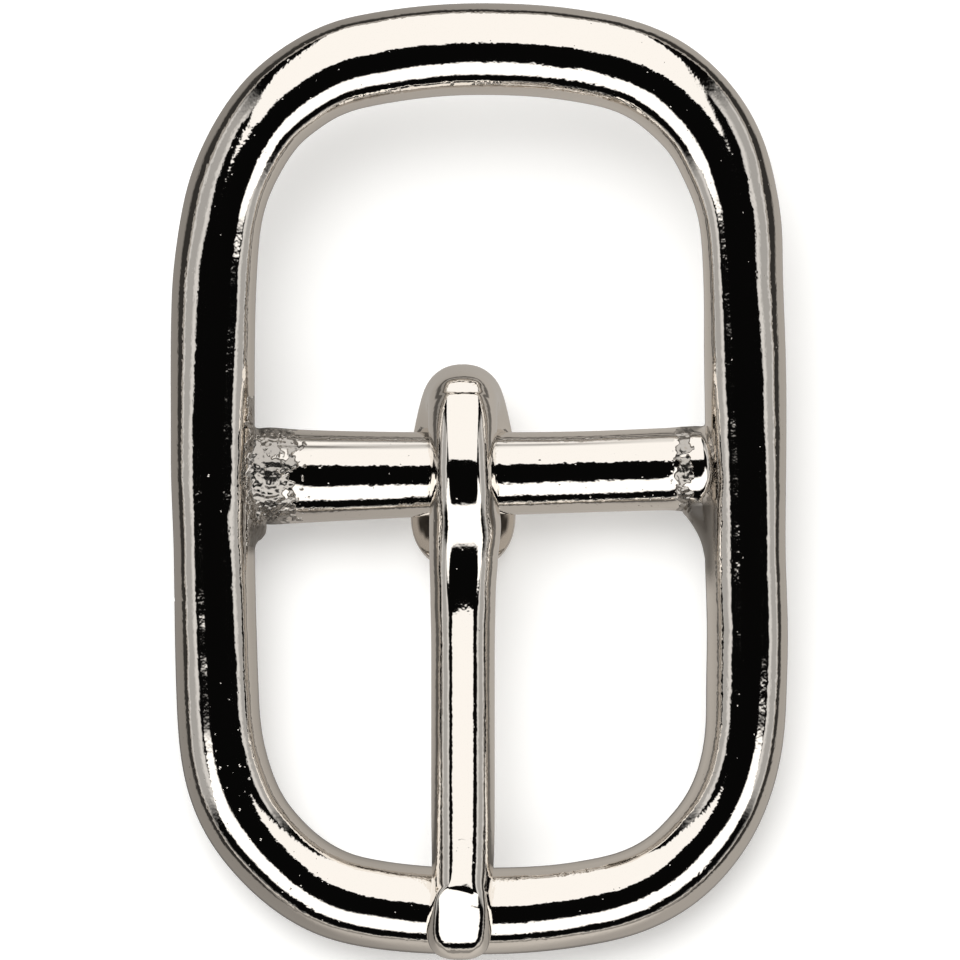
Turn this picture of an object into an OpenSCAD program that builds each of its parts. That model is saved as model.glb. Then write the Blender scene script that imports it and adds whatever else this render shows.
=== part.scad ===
// Bridle buckle: an oval ring of round wire with a centre bar, and a tongue that turns on the bar.
// X runs along the bar, Y towards the end of the ring that the tongue doesn't reach, Z up.
// The origin is the middle of the bar's axis. The buckle lies as it would on a table,
// on the back of the tongue's loop and on the ring's lower end.

/* [Ring] */
// Outer width of the ring
outer_width = 22; // [21.8:0.2:23]
// Outer length of the ring
outer_length = 34; // [33.6:0.2:36]
// Diameter of the ring's wire along the sides
ring_wire = 3; // [2.8:0.1:3.2]
// Width of the wire across the ring's two ends, where bending has spread it
end_wire = 3.2; // [3:0.05:3.3]
// Outer radius of the tight part of each corner
corner_radius = 7.3; // [7:0.1:7.5]
// Outer radius of the slack part of each corner, next to the side
shoulder_radius = 11; // [10:0.5:12]
// Turn of the ring from the middle of its end to where the corner starts
end_turn = 12; // [11:0.5:14]
// Turn of the ring to where the corner slackens
corner_turn = 65.5; // [64:0.5:67]
// Turn of the ring to where the side starts
shoulder_turn = 87.5; // [87:0.5:88]

/* [Bar] */
// Diameter of the centre bar
bar_wire = 3; // [2.8:0.1:3]
// Distance of the bar from the ring's middle, towards the upper end
bar_offset = 0.15; // [0:0.05:0.5]
// Diameter of the solder round each end of the bar
solder_wire = 3.3; // [3.2:0.1:3.5]
// Length of the solder at each end of the bar
solder_length = 1.5; // [1:0.1:2]

/* [Tongue] */
// Thickness of the tongue's wire from front to back
stem_thick = 2.45; // [2.35:0.05:2.5]
// Width of the tongue's wire
stem_width = 2.3; // [2.1:0.1:2.5]
// Reach of the tongue's point from the bar's axis
tongue_reach = 17.25; // [17.1:0.05:17.5]
// Distance of the tongue from the middle of the bar, towards the left side
tongue_shift = 0.57; // [0:0.01:1]
// Slope at which the stem climbs from the bar to the ring
stem_rise = 9.5; // [9:0.5:11]
// Slope at which the stem drops from the front of its loop
crown_drop = 24; // [20:1:26]
// Radius of the hollow in front of the loop, on the stem's face
hollow_radius = 5.3; // [4.8:0.1:5.8]
// Thickness of the leaf, where the wire is flattened behind the bar
leaf_thick = 0.85; // [0.75:0.05:0.95]
// Width of the leaf
leaf_width = 3.6; // [3.2:0.1:3.8]
// Thickness of the leaf's free end
leaf_end_thick = 0.5; // [0.4:0.05:0.6]
// Slope of the leaf's free end
leaf_curl = 55; // [45:5:60]

/* [Fits] */
// Clearance between the bar and the tongue's bore, all round
bore_gap = 0.09; // [0.05:0.01:0.1]
// Gap between the resting tongue and the ring's lower end
rest_gap = 0.05; // [0.04:0.01:0.1]

/* [Hidden] */

nickel = [0.80, 0.78, 0.74];
ring_r = ring_wire / 2;
bar_r = bar_wire / 2;
bore_r = bar_r + bore_gap;

// A quarter of the ring's outer outline is four arcs that meet without a corner. The turns say
// how far the outline has turned, in degrees, where each arc starts and ends. The radii of the
// first and last arcs follow from the ring's width and length.
turns = [0, end_turn, corner_turn, shoulder_turn, 90];
arc_steps = [3, 9, 4, 2];
half_w = outer_width / 2;
half_l = outer_length / 2;
function across(i) = sin(turns[i + 1]) - sin(turns[i]);
function along(i) = cos(turns[i]) - cos(turns[i + 1]);
rest_w = half_w - corner_radius * across(1) - shoulder_radius * across(2);
rest_l = half_l - corner_radius * along(1) - shoulder_radius * along(2);
arcs_det = across(0) * along(3) - across(3) * along(0);
end_radius = (rest_w * along(3) - rest_l * across(3)) / arcs_det;
side_radius = (rest_l * across(0) - rest_w * along(0)) / arcs_det;
arc_radii = [end_radius, corner_radius, shoulder_radius, side_radius];
function arc_start(i) = i == 0 ? [0, half_l]
    : arc_start(i - 1) + arc_radii[i - 1] * [across(i - 1), -along(i - 1)];

// Each entry of a quarter is a turn and the point of the outer outline there.
function arc_entries(i) = [
    for (k = [0:arc_steps[i] - 1])
        let (turn = turns[i] + (turns[i + 1] - turns[i]) * k / arc_steps[i],
             gone = [sin(turn) - sin(turns[i]), cos(turn) - cos(turns[i])])
        [turn, arc_start(i) + arc_radii[i] * gone]
];
quarter = [for (i = [0:3]) each arc_entries(i), [90, [half_w, 0]]];
function flipped(entries, side, end) = [
    for (e = entries) [[side * sin(e[0]), end * cos(e[0])], [side * e[1][0], end * e[1][1]]]
];
function backwards(entries) = [for (i = [len(entries) - 1:-1:0]) entries[i]];
function without_last(entries) = [for (i = [0:len(entries) - 2]) entries[i]];

// Once round the ring: the outline's normal and the point there
outline = concat(
    without_last(flipped(quarter, 1, 1)),
    without_last(backwards(flipped(quarter, 1, -1))),
    without_last(flipped(quarter, -1, -1)),
    without_last(backwards(flipped(quarter, -1, 1)))
);

// The bore cuts a little into the tongue's round wire, which leaves a cylindrical bearing face.
bearing_cut = 0.08;
wire_half = stem_thick / 2;
inner_r = bore_r - bearing_cut;
crown_r = inner_r + wire_half;

// The stem's centre line in the plane across the bar: round the front of the bar, down a short
// straight, through the hollow, then straight up to the point. A slope is positive where the
// stem climbs as it leaves the bar.
crown_run = 0.3;
hollow_r = hollow_radius + wire_half;
crown_end = [-crown_r * sin(crown_drop), crown_r * cos(crown_drop)];
hollow_start = crown_end - crown_run * [cos(crown_drop), sin(crown_drop)];
hollow_centre = hollow_start + hollow_r * [-sin(crown_drop), cos(crown_drop)];
function hollow_at(slope) = hollow_centre - hollow_r * [sin(slope), cos(slope)];
climb_start = hollow_at(stem_rise);
climb_run = (climb_start[0] + tongue_reach) / cos(stem_rise);
point_end = climb_start + climb_run * [-cos(stem_rise), sin(stem_rise)];

// The ring's middle plane lies this far in front of the bar's axis, so that the stem just
// rests on the ring's lower end.
lower_end_y = -bar_offset - half_l + end_wire / 2;
stem_to_ring = ring_r + rest_gap + wire_half;
ring_lift = climb_start[1]
    + ((climb_start[0] - lower_end_y) * sin(stem_rise) - stem_to_ring) / cos(stem_rise);

// The buckle leans by this much on a table, because the loop stands out behind the ring.
leaf_out_r = bore_r + leaf_thick;
end_distance = norm([lower_end_y, ring_lift]);
rest_tilt = atan(ring_lift / -lower_end_y) + asin((leaf_out_r - ring_r) / end_distance);

// The pressed point of the tongue, from the crease to the end. Heights are counted from the
// stem's centre line.
// Columns: distance back from the end, height of the face, height of the back, width
point_rows = [
    [2.62, 1.22, -1.22, 2.24],
    [2.30, 1.02, -1.22, 2.28],
    [1.50, 0.60, -1.20, 2.42],
    [0.80, 0.24, -1.14, 2.36],
    [0.35, -0.02, -1.04, 1.96],
    [0.10, -0.26, -0.88, 1.26],
    [0.00, -0.46, -0.70, 0.60]
];

// Angles round the bar, from its front over the upper side to its back, where the wire starts
// to thin, starts to widen, is fully wide and is fully thin
thin_from = 90;
widen_from = 80;
wide_at = 155;
thin_at = 165;

// The leaf's inner face leaves the bar at this slope, runs straight, then curls forward on this
// radius. Its free end is rounded from this slope on.
leaf_lead = 10;
leaf_run = 0.7;
leaf_radius = 3;
round_from = 21;
// Width that the leaf's flat end keeps, as a share of its full width
leaf_end_share = 0.2;

// How square a section of the tongue is: 2 is an ellipse, and higher is squarer.
wire_power = 2.2;
point_power = 2.5;
leaf_power = 4;

// Sides of each wire, and degrees between the tongue's sections
tongue_sides = 20;
ring_sides = 24;
hollow_step = 5;
loop_step = 9;
curl_step = 5;

function eased(from, to, at) =
    let (t = min(1, max(0, (at - from) / (to - from)))) t * t * (3 - 2 * t);
function blended(from, to, t) = from + (to - from) * t;

// A station of the tongue is a section across its wire: its middle in the plane across the
// bar, the angle that its face has turned, half its width, half its thickness and how square
// it is, from 2 for an ellipse upwards.
function station(middle, turn, half_width, half_thick, power) =
    [middle, turn, half_width, half_thick, power];

function point_station(row) =
    let (face = [sin(stem_rise), cos(stem_rise)],
         back = row[0] * [cos(stem_rise), -sin(stem_rise)],
         middle = point_end + back + (row[1] + row[2]) / 2 * face)
    station(middle, stem_rise, row[3] / 2, (row[1] - row[2]) / 2, point_power);

function stem_station(slope) =
    station(hollow_at(slope), slope, stem_width / 2, wire_half, wire_power);

function loop_station(turn) =
    let (widened = eased(widen_from, wide_at, turn),
         thinned = eased(thin_from, thin_at, turn),
         half_thick = blended(wire_half, (leaf_thick + bearing_cut) / 2, thinned),
         middle = (inner_r + half_thick) * [sin(turn), cos(turn)])
    station(middle, turn, blended(stem_width, leaf_width, widened) / 2, half_thick,
            blended(wire_power, leaf_power, widened));

leaf_start = -inner_r * [sin(leaf_lead), cos(leaf_lead)]
    + leaf_run * [-cos(leaf_lead), sin(leaf_lead)];
function leaf_station(slope) =
    let (t = (slope - leaf_lead) / (leaf_curl - leaf_lead),
         half_thick = blended(leaf_thick + bearing_cut, leaf_end_thick, t) / 2,
         curled = leaf_radius * [sin(leaf_lead) - sin(slope), cos(leaf_lead) - cos(slope)],
         out = [-sin(slope), -cos(slope)],
         rounding = min(1, max(0, (slope - round_from) / (leaf_curl - round_from))),
         half_width = leaf_width / 2 * max(leaf_end_share, sqrt(1 - rounding * rounding)))
    station(leaf_start + curled + out * half_thick, 180 + slope, half_width, half_thick,
            leaf_power);

stations = concat(
    [for (i = [len(point_rows) - 1:-1:0]) point_station(point_rows[i])],
    [for (slope = [stem_rise:-hollow_step:-crown_drop]) stem_station(slope)],
    [for (turn = [-crown_drop:loop_step:180 + leaf_lead]) loop_station(turn)],
    [for (slope = [leaf_lead:curl_step:leaf_curl - 1]) leaf_station(slope)],
    [leaf_station(leaf_curl)]
);

function squared(value, power) = sign(value) * pow(abs(value), 2 / power);
function tongue_section(s) = [
    for (k = [0:tongue_sides - 1])
        let (a = 360 * (k + 0.5) / tongue_sides,
             x = s[2] * squared(cos(a), s[4]),
             v = s[3] * squared(sin(a), s[4]))
        [x - tongue_shift, s[0][0] + v * sin(s[1]), s[0][1] + v * cos(s[1])]
];

function ring_section(entry) =
    let (normal = entry[0],
         half_width = blended(ring_wire, end_wire, normal[1] * normal[1]) / 2,
         middle = entry[1] - half_width * normal)
    [for (k = [0:ring_sides - 1])
        let (a = -360 * k / ring_sides, side = middle + half_width * cos(a) * normal)
        [side[0], side[1], ring_r * sin(a)]];

// A wall of quads joins each section to the next. A closed sweep joins the last to the first,
// and an open one has a flat cap at each end.
module swept(sections, closed = false) {
    count = len(sections);
    n = len(sections[0]);
    walls = [
        for (i = [0:count - (closed ? 1 : 2)], k = [0:n - 1])
            let (a = i * n, b = (i + 1) % count * n, next = (k + 1) % n)
            [a + k, a + next, b + next, b + k]
    ];
    first_cap = [for (k = [n - 1:-1:0]) k];
    last_cap = [for (k = [0:n - 1]) (count - 1) * n + k];
    polyhedron(points = [for (s = sections) each s],
               faces = closed ? walls : concat(walls, [first_cap, last_cap]));
}

module ring() {
    translate([0, -bar_offset, ring_lift])
        swept([for (entry = outline) ring_section(entry)], closed = true);
}

// The bar and its solder are one turned shape, whose tapered ends are buried in the ring's wire.
module bar() {
    inner_edge = half_w - ring_wire;
    solder_r = solder_wire / 2;
    taper_from = inner_edge + 0.25 * ring_r;
    taper_to = inner_edge + 0.75 * ring_r;
    taper_r = 0.5 * bar_r;
    right_profile = [
        [bar_r, inner_edge - solder_length],
        [solder_r, inner_edge - solder_length / 2],
        [solder_r, taper_from],
        [taper_r, taper_to],
        [0, taper_to]
    ];
    left_profile = [for (p = backwards(right_profile)) [p[0], -p[1]]];
    rotate([0, 90, 0])
        rotate_extrude($fn = 60)
            polygon(concat(left_profile, right_profile));
}

module lying() {
    rotate([rest_tilt, 0, 0]) children();
}

module buckle_frame() {
    color(nickel) lying() {
        ring();
        bar();
    }
}

module tongue() {
    color(nickel) lying()
        difference() {
            swept([for (s = stations) tongue_section(s)]);
            rotate([0, 90, 0]) cylinder(r = bore_r, h = 3 * leaf_width, center = true, $fn = 60);
        }
}

buckle_frame();
tongue();
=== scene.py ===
# %% [markdown]
# A bridle buckle is three pieces of steel wire under one skin of polished nickel. One wire is bent
# into an oval ring, a short bar is soldered across it, and a tongue is wrapped round the bar so
# that it can turn. The strap hangs on the bar and the tongue's point rests on the ring.
#
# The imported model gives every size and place. It is loaded first, and the box round it is kept,
# because the finished pieces have to stay inside that box.

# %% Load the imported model
import math
from collections import namedtuple

import bmesh
import bpy
from mathutils import Matrix, Vector


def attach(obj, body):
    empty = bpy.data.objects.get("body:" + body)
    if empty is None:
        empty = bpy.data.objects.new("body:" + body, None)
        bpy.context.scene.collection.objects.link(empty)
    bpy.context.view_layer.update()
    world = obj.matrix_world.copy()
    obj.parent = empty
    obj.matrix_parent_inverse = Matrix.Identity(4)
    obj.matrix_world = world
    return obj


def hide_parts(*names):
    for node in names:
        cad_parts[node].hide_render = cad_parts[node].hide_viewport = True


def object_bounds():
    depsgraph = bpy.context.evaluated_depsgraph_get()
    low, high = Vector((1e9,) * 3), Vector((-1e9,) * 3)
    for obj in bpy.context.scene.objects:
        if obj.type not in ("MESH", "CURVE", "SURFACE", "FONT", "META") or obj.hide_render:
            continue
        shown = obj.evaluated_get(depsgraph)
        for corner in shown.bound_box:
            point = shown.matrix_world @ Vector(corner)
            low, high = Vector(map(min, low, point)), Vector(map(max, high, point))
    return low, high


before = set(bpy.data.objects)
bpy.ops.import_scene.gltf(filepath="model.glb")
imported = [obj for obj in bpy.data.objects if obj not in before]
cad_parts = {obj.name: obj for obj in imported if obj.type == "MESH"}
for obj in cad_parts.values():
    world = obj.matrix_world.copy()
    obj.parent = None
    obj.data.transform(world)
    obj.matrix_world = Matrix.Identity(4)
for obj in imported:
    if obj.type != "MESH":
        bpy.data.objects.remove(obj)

cad_low, cad_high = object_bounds()
print("packed box in millimetres:", [round(1000 * c, 2) for c in cad_high - cad_low])

# %% [markdown]
# The buckle lies as it would on a table. The back of the tongue's loop stands out behind the
# ring, so the whole buckle leans a little about the bar. It is easier to model flat, so each
# piece is built in the ring's own plane, with the bar's axis as its origin, and leaned last.
# Lengths are written in millimetres and angles in degrees.

# %% Sizes that the pieces share
MM = 0.001
bar_radius = 1.5
ring_lift = 0.834
bar_offset = 0.15
lean = 6.53

half_width = 11.0
half_length = 17.0
ring_depth = 2.97


def sin(angle):
    return math.sin(math.radians(angle))


def cos(angle):
    return math.cos(math.radians(angle))


def eased(start, end, at):
    """0 before start, 1 after end, and smooth between them."""
    t = min(1.0, max(0.0, (at - start) / (end - start)))
    return t * t * (3 - 2 * t)


# %% [markdown]
# Wire is made in Blender much as it is bent in a workshop: one round section is extruded from
# place to place along the wire's path, and at each stop it is turned square to the path and
# squeezed to the wire's width there. A curve with a bevel would be quicker, but every section of
# it is the same, and here the wire is wider in its bends, flattened behind the bar and pressed at
# its point.

# %% Tools to select, turn and stretch


def only(piece):
    """Select this piece and nothing else."""
    bpy.ops.object.select_all(action="DESELECT")
    piece.select_set(True)
    bpy.context.view_layer.objects.active = piece


def into_edit_mode(piece):
    only(piece)
    bpy.ops.object.mode_set(mode="EDIT")


def out_of_edit_mode():
    bpy.ops.object.mode_set(mode="OBJECT")


def select_points(piece, wanted):
    """Select the vertices for which wanted(vertex) is true, and count them."""
    mesh = bmesh.from_edit_mesh(piece.data)
    for face in mesh.faces:
        face.select = False
    for edge in mesh.edges:
        edge.select = False
    for point in mesh.verts:
        point.select = wanted(point)
    mesh.select_flush_mode()
    bmesh.update_edit_mesh(piece.data)
    return sum(1 for point in mesh.verts if point.select)


def turned(angle, axis):
    return Matrix.Rotation(math.radians(angle), 3, axis)


def turn_selected(angle, axis, middle):
    """Turn what is selected. With no window the operator turns the other way."""
    bpy.ops.transform.rotate(value=-math.radians(angle), orient_axis=axis, center_override=middle)


def stretch_selected(factors, axes, middle):
    """Scale what is selected along the given axes, about a middle."""
    bpy.ops.transform.resize(value=factors, orient_type="GLOBAL", orient_matrix=axes,
                             orient_matrix_type="GLOBAL", center_override=middle)


def piece_points(piece):
    mesh = bmesh.from_edit_mesh(piece.data)
    mesh.verts.ensure_lookup_table()
    mesh.verts.index_update()
    return mesh.verts


# %% [markdown]
# Each stop along a wire is written as a Section: its middle, how far it has turned, how far it
# reaches along its own three axes, the shape of its face, how square its lower corners are and
# how far it is skewed. A face is the places, across and up, of the three pairs of points beside
# the section's top. Extruding copies the last section, so only what changes is worked on.

# %% Extrude a wire through its sections
Section = namedtuple("Section", "middle turn reach face fullness skew", defaults=[None, 1.0, 0.0])
round_face = ((0.383, 0.924), (0.707, 0.707), (0.924, 0.383))
lower_corners = (5, 6, 7)


def stretch_part(piece, there, axis, steps, wanted, factors):
    """Scale some points of the newest section. steps counts how far each point of a section is
    from its top, and wanted lists the steps that move."""
    newest = len(piece_points(piece)) - len(steps)
    select_points(piece, lambda point: point.index >= newest
                  and steps[point.index - newest] in wanted)
    stretch_selected(factors, turned(there.turn, axis), there.middle * MM)
    select_points(piece, lambda point: point.index >= newest)


def reshape_face(piece, there, axis, steps, old_face):
    """Move the three pairs of points beside the top from their old places to the new ones."""
    for step, (old, new) in enumerate(zip(old_face, there.face), 1):
        if old != new:
            stretch_part(piece, there, axis, steps, (step,), (new[0] / old[0], 1, new[1] / old[1]))


def extrude_wire(name, sections, sides, axis, stand):
    """Start with a circle and extrude it through every section. stand turns the flat circle
    square to the wire and axis is the line that the wire bends about."""
    first = sections[0]
    middle = first.middle * MM
    bpy.ops.mesh.primitive_circle_add(vertices=sides, radius=MM, location=middle, rotation=stand)
    bpy.ops.object.transform_apply(location=True, rotation=True, scale=True)
    piece = bpy.context.object
    piece.name = name
    into_edit_mode(piece)
    from_middle = [point.co - middle for point in piece_points(piece)]
    steps = [round(sides * math.atan2(abs(v.x), v.z) / math.tau) for v in from_middle]
    bpy.ops.mesh.select_all(action="SELECT")
    stretch_selected([r or 1.0 for r in first.reach], Matrix.Identity(3), middle)
    turn_selected(first.turn, axis, middle)
    if first.face:
        stretch_part(piece, first, axis, steps, (0,), (1, 1, flat_level))
        reshape_face(piece, first, axis, steps, round_face)
    for here, there in zip(sections, sections[1:]):
        step = (there.middle - here.middle) * MM
        bpy.ops.mesh.extrude_region_move(TRANSFORM_OT_translate={"value": step})
        turn_selected(there.turn - here.turn, axis, there.middle * MM)
        change = [new / old if old else 1.0 for old, new in zip(here.reach, there.reach)]
        stretch_selected(change, turned(there.turn, axis), there.middle * MM)
        if there.fullness != here.fullness:
            ratio = there.fullness / here.fullness
            stretch_part(piece, there, axis, steps, lower_corners, (ratio, ratio, ratio))
        if there.face:
            reshape_face(piece, there, axis, steps, here.face)
        if there.skew != here.skew:
            thinner = (1 - there.skew) / (1 - here.skew)
            thicker = (1 + there.skew) / (1 + here.skew)
            diagonals = turned(there.turn, axis) @ turned(45, "Y")
            factors = (thinner, 1, thicker)
            if there.reach[0] == 0:  # a wire that runs along X, as the bar does
                diagonals = turned(45, "X")
                factors = (1, thicker, thinner)
            stretch_selected(factors, diagonals, there.middle * MM)
    return piece


# %% [markdown]
# Extruding leaves a cage of flat faces, which is welded where it meets itself and rounded by a
# Subdivision Surface. A fine mesh from the start would mean stretching sixteen times the points.

# %% Close and smooth a cage
weld_distance = 0.015
smooth_levels = 2


def close_and_face_out(piece):
    """Weld points that lie on each other, then point every face outwards."""
    bpy.ops.mesh.select_all(action="SELECT")
    bpy.ops.mesh.remove_doubles(threshold=weld_distance * MM)
    bpy.ops.mesh.normals_make_consistent(inside=False)


def smoothed(piece):
    """Leave edit mode and finish the cage with an applied Subdivision Surface."""
    out_of_edit_mode()
    only(piece)
    bpy.ops.object.modifier_add(type="SUBSURF")
    surface = piece.modifiers[-1]
    surface.levels = surface.render_levels = smooth_levels
    bpy.ops.object.modifier_apply(modifier=surface.name)
    bpy.ops.object.shade_smooth()
    print(piece.name, "has", len(piece.data.polygons), "faces")


def cage_growth(sides):
    """A smoothed cage shrinks inside its corners. This brings it back to size."""
    return 3 / (2 + cos(360 / sides))


tongue_sides = 16
flat_level = 1 / cage_growth(tongue_sides)
print("a cage is made larger by", round(cage_growth(tongue_sides), 4))

# %% [markdown]
# The ring's outer outline is the same in each quarter: a gentle end, a tight corner, a slacker
# shoulder and an almost straight side, four arcs that meet without a kink. The radii of the first
# and last follow from the ring's width and length. Walking along the arcs gives the point and the
# direction of the wire at any distance round the ring.

# %% The ring's outline
end_turn, corner_turn, shoulder_turn = 12.0, 65.5, 87.5
corner_radius, shoulder_radius = 7.3, 11.0


def arc_run(start, end):
    """How far an arc of radius 1 goes across and along between two turns."""
    return Vector((sin(end) - sin(start), cos(start) - cos(end)))


left_over = (Vector((half_width, half_length)) - corner_radius * arc_run(end_turn, corner_turn)
             - shoulder_radius * arc_run(corner_turn, shoulder_turn))
first_run = arc_run(0, end_turn)
last_run = arc_run(shoulder_turn, 90)
spread = first_run.x * last_run.y - last_run.x * first_run.y
end_radius = (left_over.x * last_run.y - left_over.y * last_run.x) / spread
side_radius = (left_over.y * first_run.x - left_over.x * first_run.y) / spread
quarter = [(end_turn, end_radius), (corner_turn - end_turn, corner_radius),
           (shoulder_turn - corner_turn, shoulder_radius), (90 - shoulder_turn, side_radius)]
whole = 2 * (quarter + quarter[::-1])
ring_round = sum(radius * math.radians(turn) for turn, radius in whole)


def outline_at(distance):
    """The point and the turn of the outline, clockwise from the middle of the upper end."""
    turn, point = 0.0, Vector((0.0, half_length))
    for arc_turn, radius in whole:
        gone = min(max(math.degrees(distance / radius), 0.0), arc_turn)
        run = arc_run(turn, turn + gone)
        point += radius * Vector((run.x, -run.y))
        turn += gone
        distance -= radius * math.radians(arc_turn)
    return point, turn


print("end and side radii:", round(end_radius, 2), round(side_radius, 1))
print("once round the ring:", round(ring_round, 1))

# %% [markdown]
# A real ring isn't that even. It was bent by hand round a former, so one upper corner is full and
# the other is flat, and the wire is wider where bending has spread it. Polishing took more off one
# side of the wire here and off the other there, so its crest wanders too, and with it the dark
# reflection that runs round the ring. This table was read off the ring every few millimetres.

# %% How uneven the ring is
# Columns: distance round the ring, push outwards, width of the wire, turn of the crest outwards
uneven = [
    (0.0, -0.03, 3.28, 0.0), (4.0, 0.03, 3.28, 0.0), (8.5, 0.17, 3.33, -1.0),
    (11.5, 0.19, 3.22, -5.0), (14.5, 0.07, 2.93, -10.0), (17.0, -0.01, 2.84, -9.0),
    (20.0, 0.01, 2.93, -3.0), (26.0, -0.05, 2.88, 7.0), (30.5, 0.13, 2.89, 6.0),
    (35.5, 0.17, 2.78, 1.0), (39.0, 0.10, 2.90, -3.0), (44.0, 0.03, 3.02, -1.0),
    (48.0, 0.01, 3.10, 1.0), (53.0, 0.13, 3.15, -2.0), (57.3, 0.01, 3.09, -5.0),
    (60.5, 0.11, 3.10, -4.0), (64.0, -0.03, 2.95, -3.0), (69.5, -0.08, 2.90, 2.0),
    (73.0, 0.01, 3.00, 1.0), (79.0, 0.09, 3.01, -7.0), (82.0, -0.08, 2.88, -11.0),
    (86.0, -0.21, 2.97, -6.0), (88.5, -0.18, 3.12, -4.0), (92.0, -0.05, 3.28, -1.0),
    (ring_round, -0.03, 3.28, 0.0),
]
print("places where the ring was measured:", len(uneven))


def read_rows(rows, place):
    """The other columns of a table at a place in its first column, eased between the rows."""
    for near, far in zip(rows, rows[1:]):
        if place <= far[0]:
            t = eased(near[0], far[0], place)
            return [a + (b - a) * t for a, b in zip(near[1:], far[1:])]
    return list(rows[-1][1:])


# %% [markdown]
# The wire's two ends meet on the left side of the ring, where a hairline shows through the plate
# on the outside. It is a real groove: three close sections, the middle one pushed in a little.

# %% Extrude the ring
ring_sides = 24
ring_stops = 120
joint_at = 67.9
joint_reach = 0.035
joint_depth = 0.03
joint_width = 0.01
outer_side = 1.0


def ring_section(distance):
    point, turn = outline_at(distance)
    push, width, crest = read_rows(uneven, distance)
    normal = Vector((sin(turn), cos(turn), 0.0))
    middle = Vector((point.x, point.y - bar_offset, ring_lift)) + (push - width / 2) * normal
    swell = cage_growth(ring_sides)
    reach = (width / 2 * swell, 0.0, ring_depth / 2 * swell)
    return Section(middle, 90 - turn, reach, skew=math.radians(crest) / 2)


stops = [ring_round * k / ring_stops for k in range(ring_stops + 1)]
stops = [s for s in stops if abs(s - joint_at) > 3 * joint_reach]
stops += [joint_at + reach * joint_reach for reach in (-4, -1, 0, 1, 4)]
ring = extrude_wire("frame_wire", [ring_section(s) for s in sorted(stops)], ring_sides, "Z",
                    (math.pi / 2, 0, 0))
joint_middle = ring_section(joint_at).middle * MM
select_points(ring, lambda point: abs(point.co.y - joint_middle.y) < joint_width * MM
              and point.co.x < joint_middle.x - outer_side * MM)
bpy.ops.transform.translate(value=(joint_depth * MM, 0, 0))
close_and_face_out(ring)
smoothed(ring)

# %% [markdown]
# The bar was cut from the same wire and soldered in. It tapers a little to the right, so it is a
# row of sections too, each as high and low as the real bar is there. Polishing wore its front
# rather flat and put its crest a little above the middle. Its last sections go up inside the
# ring's wire, where the Boolean will take them away.

# %% Extrude the bar
bar_sides = 24
bar_crest = 5.0
# Columns: place along the bar, top, bottom, middle of the depth, half the depth, share of the crest
bar_rows = [
    (-9.3, 0.70, -0.60, 0.60, 0.45, 0.0), (-8.9, 1.25, -1.30, 0.40, 0.95, 0.0),
    (-8.5, 1.54, -1.64, 0.22, 1.28, 0.5), (-8.2, 1.63, -1.74, 0.05, 1.48, 1.0),
    (-7.8, 1.66, -1.79, 0.00, 1.57, 1.0), (-7.4, 1.67, -1.82, 0.00, 1.60, 1.0),
    (-7.0, 1.64, -1.79, -0.02, 1.56, 1.0), (-6.4, 1.58, -1.76, -0.05, 1.47, 1.0),
    (-5.0, 1.54, -1.68, -0.08, 1.37, 1.0), (-2.8, 1.50, -1.57, -0.08, 1.31, 1.0),
    (-1.8, 1.50, -1.52, -0.08, 1.30, 1.0), (0.8, 1.50, -1.47, -0.08, 1.29, 1.0),
    (2.2, 1.50, -1.43, -0.08, 1.28, 1.0), (4.3, 1.54, -1.36, -0.08, 1.27, 1.0),
    (5.75, 1.61, -1.32, -0.08, 1.27, 1.0), (6.8, 1.65, -1.29, -0.08, 1.28, 1.0),
    (7.1, 1.68, -1.32, -0.05, 1.36, 1.0), (7.3, 1.70, -1.34, -0.03, 1.42, 1.0),
    (7.5, 1.70, -1.35, -0.05, 1.36, 1.0), (7.9, 1.74, -1.38, -0.02, 1.40, 1.0),
    (8.2, 1.72, -1.40, 0.05, 1.42, 1.0), (8.5, 1.60, -1.30, 0.28, 1.18, 0.5),
    (8.9, 1.30, -1.05, 0.50, 0.80, 0.0), (9.3, 0.70, -0.80, 0.70, 0.40, 0.0),
]


def bar_section(row):
    along, top, bottom, depth_middle, half_depth, crest_share = row
    swell = cage_growth(bar_sides)
    reach = (0.0, (top - bottom) / 2 * swell, half_depth * swell)
    skew = math.radians(bar_crest) / 2 * crest_share
    return Section(Vector((along, (top + bottom) / 2, depth_middle)), 0.0, reach, skew=skew)


def close_ends(piece, sides):
    """Fill the first and the last section, so that the wire is a closed solid."""
    count = len(piece_points(piece))
    for end in (range(sides), range(count - sides, count)):
        select_points(piece, lambda point: point.index in end)
        bpy.ops.mesh.edge_face_add()


bar = extrude_wire("bar_wire", [bar_section(row) for row in bar_rows], bar_sides, "X",
                   (0, math.pi / 2, 0))
close_ends(bar, bar_sides)
close_and_face_out(bar)
smoothed(bar)

# %% [markdown]
# The solder has crept along the ring below the bar, a long way on the right and as a small blob
# on the left. The long one is a wire of its own that runs down the ring's inner side and thins out
# into it. The blob is a squashed sphere.

# %% Add the solder below the bar
solder_sides = 16
solder_spine = 9.2
blob_middle = Vector((-8.15, -1.88, 0.25))
blob_reach = (0.56, 0.68, 0.95)
# Columns: place up the ring, inner edge, middle of the depth, half the depth
solder_rows = [
    (-0.6, 7.90, 0.10, 0.50), (-1.0, 7.35, 0.00, 0.75), (-1.3, 7.20, 0.00, 0.90),
    (-1.5, 7.39, 0.00, 1.05), (-1.7, 7.55, 0.05, 1.12), (-1.95, 7.71, 0.12, 1.15),
    (-2.28, 7.88, 0.25, 1.15), (-2.64, 8.00, 0.38, 1.12), (-3.1, 8.09, 0.50, 1.08),
    (-3.6, 8.17, 0.62, 1.00), (-4.2, 8.35, 0.75, 0.85),
]


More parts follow.
